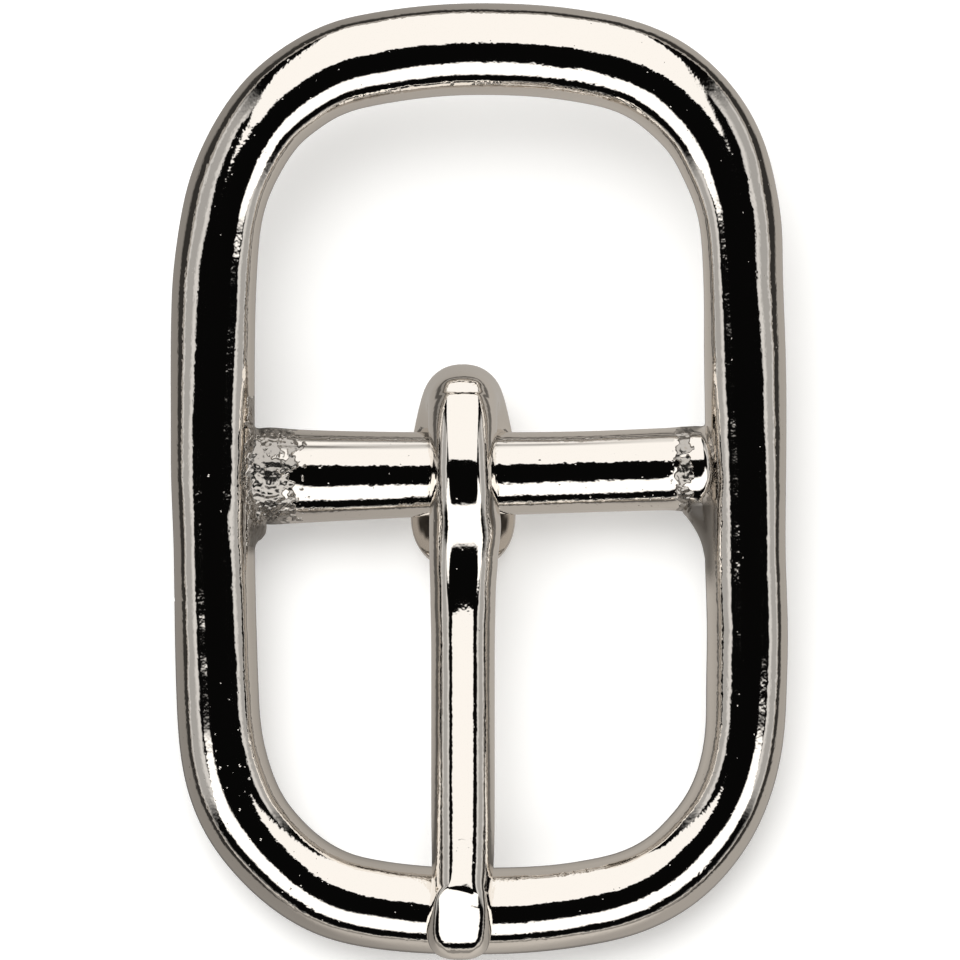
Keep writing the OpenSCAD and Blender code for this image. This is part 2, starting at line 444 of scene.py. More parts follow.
def solder_section(row):
    up, inner_edge, depth_middle, half_depth = row
    swell = cage_growth(solder_sides)
    middle = Vector(((solder_spine + inner_edge) / 2, up, depth_middle))
    return Section(middle, 0.0, ((solder_spine - inner_edge) / 2 * swell, 0.0, half_depth * swell))


solder = extrude_wire("solder_right", [solder_section(row) for row in solder_rows], solder_sides,
                      "Z", (math.pi / 2, 0, 0))
close_ends(solder, solder_sides)
close_and_face_out(solder)
smoothed(solder)

bpy.ops.mesh.primitive_uv_sphere_add(segments=32, ring_count=20, radius=MM,
                                     location=blob_middle * MM, scale=blob_reach)
blob = bpy.context.object
blob.name = "solder_left"
bpy.ops.object.transform_apply(location=True, rotation=True, scale=True)

# %% [markdown]
# Soldered metal is one solid, so the bar and the solder are joined to the ring with Booleans,
# which also take away everything that was buried in the ring's wire. A Boolean leaves a knife
# edge in the corner. Solder never does, so the points near both the bar and the ring are smoothed
# until the corner is a small hollow fillet.

# %% Join everything to the ring
for part in (bar, solder, blob):
    only(ring)
    bpy.ops.object.modifier_add(type="BOOLEAN")
    join = ring.modifiers[-1]
    join.operation = "UNION"
    join.solver = "EXACT"
    join.object = part
    bpy.ops.object.modifier_apply(modifier=join.name)
    bpy.data.objects.remove(part)

ring_side = half_width - 1.47
solder_low, solder_high = -2.7, -1.1
solder_end, bar_end = 8.0, 9.0


def in_corner(point, reach):
    """Near the bar's or the solder's surface and near the ring's surface at once."""
    x, y, z = point.co / MM
    from_bar = math.hypot(y, z) - bar_radius
    from_ring = math.hypot(abs(x) - ring_side, z - ring_lift) - ring_depth / 2
    near_solder = solder_low < y < solder_high and x < solder_end + reach / 2
    return abs(x) < bar_end and abs(from_ring) < reach and (abs(from_bar) < reach or near_solder)


into_edit_mode(ring)
for reach in (0.5, 0.4, 0.3, 0.2):
    softened = select_points(ring, lambda point: in_corner(point, reach))
    bpy.ops.mesh.vertices_smooth(factor=0.5, repeat=8)
    print("points softened:", softened)
out_of_edit_mode()
print("faces in all:", len(ring.data.polygons))

# %% [markdown]
# The tongue is one wire. From its free end it is a thin leaf that curls forward under the bar,
# wraps up behind the bar and over its upper side, becomes round wire at the front, dips into a
# hollow and then climbs in a straight line to the ring's lower end. Its path is worked out in the
# plane across the bar, as pairs of along (Y) and height (Z).

# %% The tongue's path
stem_rise = 9.5
crown_drop = 24.0
tongue_reach = 17.14
wire_thick = 2.45
seat_radius = 1.51
bore_radius = 1.565
crown_run = 0.3
hollow_radius = 5.3
leaf_thick, leaf_end_thick = 0.86, 0.45
leaf_lead, leaf_curl = 10.0, 66.0
leaf_run = 0.7
leaf_radius = 2.89

outer_radius = seat_radius + wire_thick
hollow_arc = hollow_radius + wire_thick / 2
crown_radius = seat_radius + wire_thick / 2
crown_end = crown_radius * Vector((-sin(crown_drop), cos(crown_drop)))
hollow_start = crown_end - crown_run * Vector((cos(crown_drop), sin(crown_drop)))
hollow_centre = hollow_start + hollow_arc * Vector((-sin(crown_drop), cos(crown_drop)))


def hollow_at(slope):
    return hollow_centre - hollow_arc * Vector((sin(slope), cos(slope)))


climb_start = hollow_at(stem_rise)
climb_run = (climb_start.x + tongue_reach) / cos(stem_rise)
point_end = climb_start + climb_run * Vector((-cos(stem_rise), sin(stem_rise)))
print("the point ends", [round(c, 2) for c in point_end], "from the bar's axis")

# %% [markdown]
# The wire's face was rubbed flat, so its reflections are bands with straight ends and not lenses.
# The flat has soft shoulders that turn ever more steeply. Over the bar the wire stayed round, the
# pressed facet has a bevel down each side, and the leaf is flat right across.

# %% The faces of the tongue's sections
stem_face = ((0.05, 0.975), (0.44, 0.963), (0.843, 0.571))
loop_face = ((0.33, 0.975), (0.50, 0.958), (0.860, 0.590))
leaf_face = ((0.30, 0.975), (0.72, 0.930), (0.960, 0.560))


def blend(one, other, t):
    """A face part of the way from one face to another."""
    return tuple((a + (c - a) * t, b + (d - b) * t) for (a, b), (c, d) in zip(one, other))


def facet_face(width, thick):
    """The pressed face: flat, with a straight bevel of about 32 degrees down each side."""
    first_drop = 0.10 * width / thick * math.tan(math.radians(31))
    second_drop = 0.18 * width / thick * math.tan(math.radians(33))
    edge = 0.975
    return ((0.52, edge), (0.62, edge - first_drop), (0.80, edge - first_drop - second_drop))


# %% [markdown]
# Now the widths. The stem is widest just below the bar and slims towards the ring. Behind the bar
# the wire was hammered flat, which made it wide. The last two millimetres or so were pressed in a
# die, so the wire narrows, then swells to a point with rounded shoulders and a sloping facet.

# %% The tongue's widths
tongue_shift = -0.57
# Columns: place along the wire's front, width, middle across
front_rows = [
    (-14.0, 2.24, -0.57), (-12.0, 2.29, -0.57), (-6.2, 2.29, -0.57), (-4.1, 2.36, -0.57),
    (-3.2, 2.46, -0.55), (-1.8, 2.60, -0.49), (-0.9, 2.46, -0.54), (0.2, 2.36, -0.57),
    (1.0, 2.36, -0.58), (1.8, 2.50, -0.58), (4.0, 2.56, -0.57),
]
facet_start, facet_drop = 2.22, 0.625
# Columns: distance back from the point's end, face below the facet, underside, width, middle
point_rows = [
    (0.00, 0.42, -1.00, 0.46, -0.70), (0.03, 0.32, -1.08, 0.96, -0.70),
    (0.10, 0.22, -1.13, 1.40, -0.70), (0.20, 0.14, -1.17, 1.74, -0.70),
    (0.32, 0.07, -1.20, 1.98, -0.70), (0.46, 0.02, -1.22, 2.14, -0.71),
    (0.66, 0.00, -1.22, 2.28, -0.72), (1.00, 0.00, -1.22, 2.38, -0.71),
    (1.40, 0.00, -1.22, 2.39, -0.69), (1.60, 0.00, -1.22, 2.36, -0.67),
    (1.82, 0.00, -1.22, 2.31, -0.65), (2.02, 0.00, -1.22, 2.26, -0.64),
    (2.17, 0.00, -1.22, 2.23, -0.63), (2.27, 0.00, -1.22, 2.21, -0.62),
    (2.50, 0.00, -1.225, 2.19, -0.61), (3.10, 0.00, -1.225, 2.21, -0.58),
]
print("the point swells to", max(row[3] for row in point_rows))

# %% [markdown]
# A section is worked out for each stretch of the wire: the pressed point, the straight stem, the
# loop over the bar, which thins and widens as it goes round, and the leaf with its rounded end.

# %% The tongue's sections
pressed_from, pressed_fully = 2.55, 1.75
leaf_width = 3.64
leaf_end_share = 0.22
leaf_rounding_from = 18
extra_fullness = 0.12
blow_start, blow_end = 44, 57
nick_depth = 0.014


def tongue_section(middle, face_turn, width, thick, shift, face, fullness=1.0):
    swell = cage_growth(tongue_sides)
    reach = (width / 2 * swell, 0.0, thick / 2 * swell)
    return Section(Vector((shift, middle.x, middle.y)), -face_turn, reach, face, fullness)


def front_section(middle, slope, face):
    width, shift = read_rows(front_rows, middle.x)
    return tongue_section(middle, slope, width, wire_thick, shift, face)


def on_stem(back, face):
    """A place on the stem, from its distance back and its height above the wire's middle."""
    return (point_end + back * Vector((cos(stem_rise), -sin(stem_rise)))
            + face * Vector((sin(stem_rise), cos(stem_rise))))


def point_section(row):
    back, below_facet, under, width, shift = row
    face = wire_thick / 2 - facet_drop * max(0.0, facet_start - back) - below_facet
    middle = on_stem(back, (face + under) / 2)
    pressed = facet_face(width, face - under)
    shape = blend(stem_face, pressed, eased(pressed_from, pressed_fully, back))
    return tongue_section(middle, stem_rise, width, face - under, shift, shape)


def blow_at(turn):
    """A hammer blow left a small flat on the crown and a nick at its lower edge."""
    past_start = min(max(turn, blow_start), blow_end) - blow_start
    flattened = outer_radius * (1 / cos(past_start) - 1) * eased(76, 58, turn)
    nick = nick_depth * eased(46, 48, turn) * eased(50, 48, turn)
    return flattened - nick


def loop_section(turn):
    """turn goes round the bar, from its front (0) over the upper side (90) to its back (180)."""
    thinned = eased(90, 165, turn)
    widened = eased(60, 165, turn)
    full = wire_thick - (bore_radius - seat_radius)
    thick = full + (leaf_thick - full) * thinned + blow_at(turn)
    middle = (bore_radius + thick / 2) * Vector((sin(turn), cos(turn)))
    front_width, shift = read_rows(front_rows, (bore_radius + thick / 2) * sin(min(turn, 60)))
    width = front_width + (leaf_width - front_width) * widened
    face = blend(blend(loop_face, round_face, eased(54, 70, turn)), leaf_face, thinned)
    return tongue_section(middle, turn, width, thick, shift, face, 1 + extra_fullness * widened)


leaf_start = (-bore_radius * Vector((sin(leaf_lead), cos(leaf_lead)))
              + leaf_run * Vector((-cos(leaf_lead), sin(leaf_lead))))


def leaf_section(slope):
    t = (slope - leaf_lead) / (leaf_curl - leaf_lead)
    thick = leaf_thick + (leaf_end_thick - leaf_thick) * t
    curled = leaf_radius * Vector((sin(leaf_lead) - sin(slope), cos(leaf_lead) - cos(slope)))
    middle = leaf_start + curled - thick / 2 * Vector((sin(slope), cos(slope)))
    rounding = (slope - leaf_rounding_from) / (leaf_curl - leaf_rounding_from)
    rounding = min(1.0, max(0.0, rounding))
    width = leaf_width * max(leaf_end_share, math.sqrt(1 - rounding * rounding))
    return tongue_section(middle, 180 + slope, width, thick, tongue_shift, leaf_face,
                          1 + extra_fullness)


# %% [markdown]
# The sections are put in one list from the point to the leaf's free end and extruded in one go.

# %% Extrude the tongue
stem_stops = (3.8, 4.8, 6.0, 7.2, 8.4, 9.4, 10.2, 11.0, 11.7)
hollow_stops = (9.5, 5.5, 1.5, -2.5, -6.5, -10.5, -14.5, -18.5, -22.0)
loop_stops = [*range(-24, 41, 6), 42, 44, 46, 48, 50, 52, 55, 58, 61, 65, *range(70, 187, 6)]
leaf_stops = (10, 16, 22, 28, 34, 40, 46, 52, 57, 61, 64, 66)

tongue_sections = [point_section(row) for row in point_rows]
tongue_sections += [front_section(on_stem(back, 0), stem_rise, stem_face) for back in stem_stops]
for slope in hollow_stops:
    face = blend(stem_face, loop_face, eased(9.5, 1.0, slope))
    tongue_sections.append(front_section(hollow_at(slope), slope, face))
tongue_sections += [loop_section(turn) for turn in loop_stops]
tongue_sections += [leaf_section(slope) for slope in leaf_stops]

tongue = extrude_wire("tongue_wire", tongue_sections, tongue_sides, "X", (math.pi / 2, 0, 0))
close_ends(tongue, tongue_sides)
close_and_face_out(tongue)

# %% [markdown]
# The die was a little askew, so the facet's upper edge slants. The points of that edge are found
# by how far they lie from the facet's plane and turned together.

# %% Slant the facet's upper edge
facet_top = on_stem(facet_start, wire_thick / 2)
facet_top = Vector((-0.65, facet_top.x, facet_top.y)) * MM
facet_axes = turned(math.degrees(math.atan(facet_drop)) - stem_rise, "X")
facet_normal = facet_axes.col[2]
crease_low, crease_high = on_stem(1.82, 0).x * MM, on_stem(2.62, 0).x * MM
crease_slant = 13.0
crease_depth = 0.08


def is_crease(point):
    below = (facet_top - point.co).dot(facet_normal)
    return crease_low < point.co.y < crease_high and below < crease_depth * MM


slanted = select_points(tongue, is_crease)
turn_selected(-crease_slant, "Z", facet_top)
smoothed(tongue)
print("points turned:", slanted)

# %% [markdown]
# Both pieces are leaned about the bar's axis, as they lie on the table, and their faces are
# checked once more, because a Boolean can leave a face the wrong way round.

# %% Lean the pieces
sharp_angle = 50.0

for piece in (ring, tongue):
    into_edit_mode(piece)
    bpy.ops.mesh.select_all(action="SELECT")
    bpy.ops.mesh.normals_make_consistent(inside=False)
    turn_selected(lean, "X", (0, 0, 0))
    out_of_edit_mode()
    only(piece)
    bpy.ops.object.shade_smooth_by_angle(angle=math.radians(sharp_angle))
    print(piece.name, "lowest point", round(1000 * min(v.co.z for v in piece.data.vertices), 3))

# %% [markdown]
# Both pieces wear the same plate, so its flaws are shader groups that both materials use. A group
# is built as it would be in the shader editor: nodes are added and sockets are linked. These
# helpers add a node, do sums with sockets or numbers, and make a soft step.

# %% Tools to build a shader


def new_group(name, numbers, outputs):
    """A shader node group that takes a Vector and some numbers and gives back numbers."""
    group = bpy.data.node_groups.new(name, "ShaderNodeTree")
    group.interface.new_socket(name="Vector", in_out="INPUT", socket_type="NodeSocketVector")
    for socket, value in numbers.items():
        made = group.interface.new_socket(name=socket, in_out="INPUT", socket_type="NodeSocketFloat")
        made.default_value = value
    for socket in outputs:
        group.interface.new_socket(name=socket, in_out="OUTPUT", socket_type="NodeSocketFloat")
    inside = group.nodes.new("NodeGroupInput").outputs
    return group, inside, group.nodes.new("NodeGroupOutput").inputs


def feed(tree, value, socket):
    """Give an input a link from another node's socket, or else a constant."""
    if isinstance(value, bpy.types.NodeSocket):
        tree.links.new(value, socket)
    else:
        socket.default_value = value


def add(tree, kind, **settings):
    """Add a node. A setting is a property of the node, or else what feeds an input."""
    node = tree.nodes.new(kind)
    for key, value in settings.items():
        if hasattr(node, key):
            setattr(node, key, value)
        else:
            feed(tree, value, node.inputs[key])
    return node


def math_node(tree, operation, first, *others):
    """A Math node fed with sockets or numbers, or a row of nodes for more than two."""
    for other in others or (None,):
        node = add(tree, "ShaderNodeMath", operation=operation)
        feed(tree, first, node.inputs[0])
        if other is not None:
            feed(tree, other, node.inputs[1])
        first = node.outputs[0]
    return first


def times(tree, *values):
    return math_node(tree, "MULTIPLY", *values)


def plus(tree, *values):
    return math_node(tree, "ADD", *values)


def ramped(tree, value, start, end, low=0.0, high=1.0):
    """A smooth step of a value between two limits."""
    node = add(tree, "ShaderNodeMapRange", interpolation_type="SMOOTHSTEP", Value=value)
    for socket, limit in zip(("From Min", "From Max", "To Min", "To Max"), (start, end, low, high)):
        feed(tree, limit, node.inputs[socket])
    return node.outputs["Result"]


# %% [markdown]
# The first group is the gentle waviness that barrel polishing leaves. On a mirror finish nobody
# sees the waves themselves, only the ragged edges that they give to every reflection. Three
# noises do it, a long sway, a ripple and fine teeth, and the teeth are stronger in some patches.

# %% A group for the polishing waves
waves, waves_in, waves_out = new_group(
    "polishing waves", {"Sway": 0.05, "Ripple": 0.014, "Teeth": 0.0045}, ["Height"])
patches = add(waves, "ShaderNodeTexNoise", Vector=waves_in["Vector"], Scale=0.7, Detail=0.0)
patchy = ramped(waves, patches.outputs[0], 0.35, 0.7, 0.6, 1.5)
wave_heights = []
for name, scale, detail in (("Sway", 0.2, 0.0), ("Ripple", 1.3, 0.0), ("Teeth", 5.5, 1.0)):
    noise = add(waves, "ShaderNodeTexNoise", Vector=waves_in["Vector"], Scale=scale, Detail=detail)
    wave_heights.append(times(waves, noise.outputs[0], waves_in[name]))
wave_heights[-1] = times(waves, wave_heights[-1], patchy)
feed(waves, plus(waves, *wave_heights), waves_out["Height"])
print("group made:", waves.name)

# %% [markdown]
# The second group is pits and specks: tiny pores in the plate, about a tenth of a millimetre
# across, which flash bright inside the dark reflections. Only some of the Voronoi cells get one.

# %% A group for pits and specks
pits, pits_in, pits_out = new_group(
    "pits in the plate", {"Scale": 5.0, "Share": 0.08, "Size": 0.16, "Depth": 0.006},
    ["Height", "Mask"])
cells = add(pits, "ShaderNodeTexVoronoi", Vector=pits_in["Vector"], Scale=pits_in["Scale"])
pick = add(pits, "ShaderNodeSeparateColor", Color=cells.outputs["Color"])
picked = math_node(pits, "LESS_THAN", pick.outputs[0], pits_in["Share"])
pit_mask = times(pits, picked, ramped(pits, cells.outputs["Distance"], pits_in["Size"], 0.0))
feed(pits, pit_mask, pits_out["Mask"])
feed(pits, times(pits, pit_mask, pits_in["Depth"], -1.0), pits_out["Height"])
print("group made:", pits.name)

# %% [markdown]
# The third group is the crust that solder leaves under the plate where the bar meets the ring:
# lumps a third of a millimetre across with a ragged edge. Where it lies is painted on the piece's
# vertices as an attribute, and a noise then frays the paint's edge.

# %% A group for the solder's crust
crust, crust_in, crust_out = new_group(
    "solder crust", {"Painted": 0.0, "Height": 0.13}, ["Height", "Mask"])
lumps = add(crust, "ShaderNodeTexNoise", Vector=crust_in["Vector"], Scale=3.3, Detail=1.0, Roughness=0.5)
fray = add(crust, "ShaderNodeTexNoise", Vector=crust_in["Vector"], Scale=3.0, Detail=1.0, Roughness=0.6)
near_paint = ramped(crust, crust_in["Painted"], 0.0, 0.15)
fraying = times(crust, math_node(crust, "SUBTRACT", fray.outputs[0], 0.5), 2.5, near_paint)
crusted = ramped(crust, plus(crust, crust_in["Painted"], fraying), 0.42, 0.62)
feed(crust, crusted, crust_out["Mask"])
feed(crust, times(crust, crusted, crust_in["Height"], lumps.outputs[0]), crust_out["Height"])
print("group made:", crust.name)

# %% [markdown]
# Three things are painted on the vertices, each from a rule. Solder lies round the bar's left end
# and in a narrow collar near its right end. The gap between bar and leaf and the corners below the
# bar get painted shade, and two dark lines along the bar are painted reflections; the plate is
# rougher there too. And some places are worn, with many more pits than the rest.

# %% Paint the solder, the painted shade and the worn places


def paint(piece, name, value_at):
    """Store a number between 0 and 1 at every vertex, under a name that a shader can read."""
    layer = piece.data.attributes.new(name, "FLOAT", "POINT")
    layer.data.foreach_set("value", [value_at(point) for point in piece.data.vertices])


unlean = turned(-lean, "X")


def flat_place(point):
    """Where a point lies in the ring's own plane, in millimetres."""
    return unlean @ point.co / MM


def between(at, rise_start, rise_end, fall_start, fall_end):
    """1 between the two middle limits, and smooth down to 0 at the outer ones."""
    return eased(rise_start, rise_end, at) * eased(fall_end, fall_start, at)


def solder_at(point):
    """Crust from the ring to well along the bar on the left, and a narrow collar on the right."""
    x, y = flat_place(point).xy
    left = between(x, -8.4, -8.1, -7.4, -5.9) if abs(y) < 2.7 else 0.0
    right = between(x, 6.85, 7.25, 7.40, 7.75) if abs(y) < 2.2 else 0.0
    return max(left, right)


def leaf_gap_shade_at(point):
    """Painted shade on the side of the leaf that faces the bar, short of its rim."""
    x, y, z = flat_place(point)
    inwards = -(unlean @ point.normal).dot(Vector((0.0, y, z)).normalized())
    from_rim = math.hypot((x - tongue_shift) / 1.60, (y + 1.72) / 0.98)
    return eased(0.3, 0.6, inwards) * eased(0.4, -0.4, y) * eased(1.05, 0.97, from_rim)


def reflection_lines_at(point, x, y):
    """Two painted dark reflection lines along the bar, found by how far its surface tilts up there."""
    if abs(y) > 1.6 or abs(x) > 7.0:
        return 0.0
    normal = unlean @ point.normal
    tilt = math.degrees(math.atan2(normal.y, normal.z))
    outer_line = max(0.0, 1 - abs(tilt - 44.5) / 3.5)
    inner_line = max(0.0, 1.3 - abs(tilt - 35.5 - 0.5 * x) / 3.0)
    return max(outer_line, inner_line) * (0.62 - 0.03 * x)


def frame_shade_at(point):
    """Painted shade in the corners below the bar, and the two painted reflection lines."""
    x, y = flat_place(point).xy
    right = between(x, 7.2, 7.6, 8.2, 8.6) * between(y, -4.4, -3.2, -1.2, -0.75)
    left = between(x, -8.4, -8.1, -7.7, -7.4) * between(y, -3.0, -2.6, -1.9, -1.6)
    return max(0.8 * right, 0.8 * left, reflection_lines_at(point, x, y))


def frame_worn_at(point):
    """The bar, most of all to the right, and two of the ring's corners."""
    x, y = flat_place(point).xy
    on_bar = (0.3 + 0.7 * eased(3.5, 6.2, x)) * eased(7.7, 7.4, abs(x)) if abs(y) < 1.9 else 0.0
    lower_left = 0.5 * eased(-4.0, -6.5, x) * eased(-7.0, -9.5, y)
    upper_right = 0.25 * eased(5.0, 7.5, x) * eased(9.0, 11.0, y)
    return max(on_bar, lower_left, upper_right)


def tongue_worn_at(point):
    """One small patch high on the loop's right side."""
    x, y = flat_place(point).xy
    return eased(0.7, 0.3, math.hypot((x - 0.18) / 0.30, (y - 2.43) / 0.55))


for piece, name, value_at in (
        (ring, "solder", solder_at), (ring, "dull_and_painted_shade", frame_shade_at), (ring, "worn", frame_worn_at),
        (tongue, "dull_and_painted_shade", leaf_gap_shade_at), (tongue, "worn", tongue_worn_at)):
    paint(piece, name, value_at)
    print("painted", name, "on", piece.name)

# %% [markdown]
# Nickel is a warm white metal. The material is a Principled BSDF that is all metal, and the
# groups disturb its normal, its roughness and, in the crust, its colour; the painted shade and
# painted reflection lines darken its colour too. The finish is a mirror, so the base roughness is
# low. The groups work in millimetres.

# %% The nickel plate
nickel_colour = (0.88, 0.84, 0.79, 1.0)
# dark colour for the solder's crust, for the painted shade and for the painted reflection lines
shade_and_crust_colour = (0.10, 0.09, 0.08, 1.0)
mirror_roughness, dull_roughness = 0.04, 0.42


def nickel(name, teeth, pit_share):
    material = bpy.data.materials.new(name)
    material.use_nodes = True
    tree = material.node_tree
    shader = tree.nodes["Principled BSDF"]
    shader.inputs["Metallic"].default_value = 1.0
    place = add(tree, "ShaderNodeTexCoord").outputs["Object"]
    in_mm = add(tree, "ShaderNodeVectorMath", operation="SCALE", Vector=place, Scale=1 / MM).outputs[0]
    solder_paint, dull_and_shade_paint, worn_paint = [
        add(tree, "ShaderNodeAttribute", attribute_name=layer).outputs["Fac"]
        for layer in ("solder", "dull_and_painted_shade", "worn")]
    small_share = plus(tree, times(tree, worn_paint, 0.6), pit_share)
    large_share = plus(tree, times(tree, worn_paint, 0.45), 0.004)
    wave = add(tree, "ShaderNodeGroup", node_tree=waves, Vector=in_mm, Teeth=teeth)
    small_pit = add(tree, "ShaderNodeGroup", node_tree=pits, Vector=in_mm, Share=small_share)
    large_pit = add(tree, "ShaderNodeGroup", node_tree=pits, Vector=in_mm, Share=large_share, Scale=2.8,
                    Size=0.17, Depth=0.013)
    solder_crust = add(tree, "ShaderNodeGroup", node_tree=crust, Vector=in_mm, Painted=solder_paint)
    heights = [group.outputs["Height"] for group in (wave, small_pit, large_pit, solder_crust)]
    bump = add(tree, "ShaderNodeBump", Strength=1.0, Distance=MM, Height=plus(tree, *heights))
    feed(tree, bump.outputs["Normal"], shader.inputs["Normal"])
    pit_dullness = times(tree, small_pit.outputs["Mask"], 0.2)
    crust_dullness = times(tree, solder_crust.outputs["Mask"], 0.45)
    dullness = math_node(tree, "MAXIMUM", pit_dullness, crust_dullness, dull_and_shade_paint)
    roughness = ramped(tree, dullness, 0.0, 1.0, mirror_roughness, dull_roughness)
    feed(tree, roughness, shader.inputs["Roughness"])
    # the colour is darkened by the solder's crust and by the painted shade and painted reflection lines
    crust_darkness = times(tree, solder_crust.outputs["Mask"], 0.5)
    shade_and_crust_darkness = math_node(tree, "MAXIMUM", dull_and_shade_paint, crust_darkness)
    colour = add(tree, "ShaderNodeMix", data_type="RGBA", Factor=shade_and_crust_darkness, A=nickel_colour,
                 B=shade_and_crust_colour)
    feed(tree, colour.outputs["Result"], shader.inputs["Base Color"])
    return material


frame_nickel = nickel("frame nickel", teeth=0.0045, pit_share=0.07)
tongue_nickel = nickel("tongue nickel", teeth=0.0040, pit_share=0.08)
print("materials made:", frame_nickel.name, "and", tongue_nickel.name)

# %% [markdown]
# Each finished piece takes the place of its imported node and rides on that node's body, so the
# tongue turns on the bar.

# %% Put the pieces on their bodies
for piece, material, node, body, slot in (
        (ring, frame_nickel, "buckle_frame", "frame", "frame_nickel"),
        (tongue, tongue_nickel, "tongue", "tongue", "tongue_nickel")):
    piece.data.materials.clear()
    piece.data.materials.append(material)
    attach(piece, body)
    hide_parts(node)
    print(piece.name, "stands for", node)

# %% [markdown]
# The camera looks straight at the face of the ring from over half a metre away through a very
# long lens, so there is almost no perspective.

# %% The camera
frame_height = 34.286
camera_distance = 600.0
sensor_width = 36.0
aim = Vector((0.036, -0.214, ring_lift))
leaned = turned(lean, "X")
camera_data = bpy.data.cameras.new("camera")
camera_data.sensor_width = sensor_width
camera_data.lens = sensor_width * camera_distance / frame_height
camera_data.clip_start = 0.01
camera_data.clip_end = 10.0
camera = bpy.data.objects.new("camera", camera_data)
camera.location = leaned @ (aim + Vector((0, 0, camera_distance))) * MM
camera.rotation_euler = (math.radians(lean), 0, 0)
bpy.context.scene.collection.objects.link(camera)
bpy.context.scene.camera = camera
print("lens in millimetres:", round(camera_data.lens))

# %% [markdown]
# A mirror finish is drawn by what stands round it. In the studio that is a big soft light above,
# a long white card below, grey walls at the sides and darkness behind the camera. The world's
# shader paints them on a sphere, so it first measures each direction: its angle away from the
# ring's normal, its bearing round it, and its place on the tilted planes of light and card.

# %% Measure directions in the studio
world = bpy.data.worlds.new("studio")
bpy.context.scene.world = world
world.use_nodes = True
sky = world.node_tree
sky.nodes.clear()
direction = add(sky, "ShaderNodeTexCoord").outputs["Generated"]
square_on = add(sky, "ShaderNodeMapping", vector_type="POINT", Vector=direction,
                Rotation=(-math.radians(lean), 0, 0))
parts = add(sky, "ShaderNodeSeparateXYZ", Vector=square_on.outputs["Vector"])
right, up, front = parts.outputs
away = math_node(sky, "DEGREES", math_node(sky, "ARCCOSINE", front))
sideways = math_node(sky, "ABSOLUTE", right)
bearing = math_node(sky, "ARCTAN2", sideways, times(sky, up, -1.0))
from_below = math_node(sky, "DEGREES", bearing)
from_above = math_node(sky, "SUBTRACT", 180.0, from_below)
just_over_nothing = 0.001
towards_panel = math_node(sky, "MAXIMUM", plus(sky, up, front), just_over_nothing)
panel_across = math_node(sky, "DIVIDE", right, towards_panel)
panel_up = math_node(sky, "DIVIDE", math_node(sky, "SUBTRACT", up, front), towards_panel)
towards_card = math_node(sky, "MAXIMUM", math_node(sky, "SUBTRACT", front, up), just_over_nothing)
card_across = math_node(sky, "DIVIDE", right, towards_card)

# %% [markdown]
# Each thing in the studio is a product of soft steps across its edges, times how bright it is.
# The light's two sides lean, so each is a step of a slanted width. The walls are brighter at
# their near and far edges, and everything else is almost black.

# %% The light, the card and the walls
panel_light, card_light, low_wall_light = 1.11, 1.35, 0.62
side_wall_light, near_edge_light, far_edge_light, dark_light = 0.42, 0.33, 0.25, 0.0025


def band(value, rise_start, rise_end, fall_start, fall_end):
    """1 between the two middle limits, and smooth down to 0 at the outer ones."""
    rising = ramped(sky, value, rise_start, rise_end)
    falling = ramped(sky, value, fall_start, fall_end, 1.0, 0.0)
    return times(sky, rising, falling)


panel_slant = times(sky, panel_up, 0.15)
panel_wide = plus(sky, panel_across, panel_slant)
panel_tall = math_node(sky, "SUBTRACT", panel_across, panel_slant)
panel_left = times(sky, ramped(sky, panel_wide, -0.62, -0.56), ramped(sky, panel_tall, -0.69, -0.63))
panel_right = times(sky, ramped(sky, panel_tall, 0.50, 0.56, 1.0, 0.0),
                    ramped(sky, panel_wide, 0.56, 0.62, 1.0, 0.0))
upper_light = times(sky, panel_left, panel_right, band(panel_up, -0.625, -0.58, 1.2, 1.45),
                    panel_light)
lower_card = times(sky, band(away, 30, 34, 61, 65), band(card_across, -1.0, -0.92, 1.0, 1.08),
                   ramped(sky, from_below, 78, 86, 1.0, 0.0), card_light)
lower_wall = times(sky, ramped(sky, away, 80, 90), ramped(sky, from_below, 50, 80, 1.0, 0.0),
                   low_wall_light)
wall_side = times(sky, ramped(sky, from_below, 60, 72), ramped(sky, from_above, 46, 58))
side_walls = times(sky, band(away, 54, 59, 90, 96), wall_side, side_wall_light)
wall_edges = plus(sky, times(sky, band(away, 54, 57, 61, 70), wall_side, near_edge_light),
                  times(sky, band(away, 84, 88, 90, 96), wall_side, far_edge_light))
studio = plus(sky, upper_light, lower_card, lower_wall, side_walls, wall_edges, dark_light)
print("nodes in the studio:", len(sky.nodes))

# %% [markdown]
# Only the metal sees the studio. The camera looks past the buckle at a plain pale backdrop, and a
# Light Path node tells the two apart.

# %% The room and the backdrop


def seen_by_camera(tree, by_metal, by_camera, surface):
    """Show one shader to the camera and another to everything that reflects."""
    either = add(tree, "ShaderNodeMixShader")
    camera_looks = add(tree, "ShaderNodeLightPath").outputs["Is Camera Ray"]
    for slot, value in enumerate((camera_looks, by_metal, by_camera)):
        feed(tree, value, either.inputs[slot])
    feed(tree, either.outputs[0], surface)


room = add(sky, "ShaderNodeBackground", Color=(1.0, 0.983, 0.96, 1.0), Strength=studio)
backdrop = add(sky, "ShaderNodeBackground", Color=(0.96, 0.96, 0.955, 1.0), Strength=1.0)
world_surface = add(sky, "ShaderNodeOutputWorld").inputs["Surface"]
seen_by_camera(sky, room.outputs[0], backdrop.outputs[0], world_surface)

# %% [markdown]
# The floor is a plain pale plane under the buckle, so wide that its edges are out of the picture.

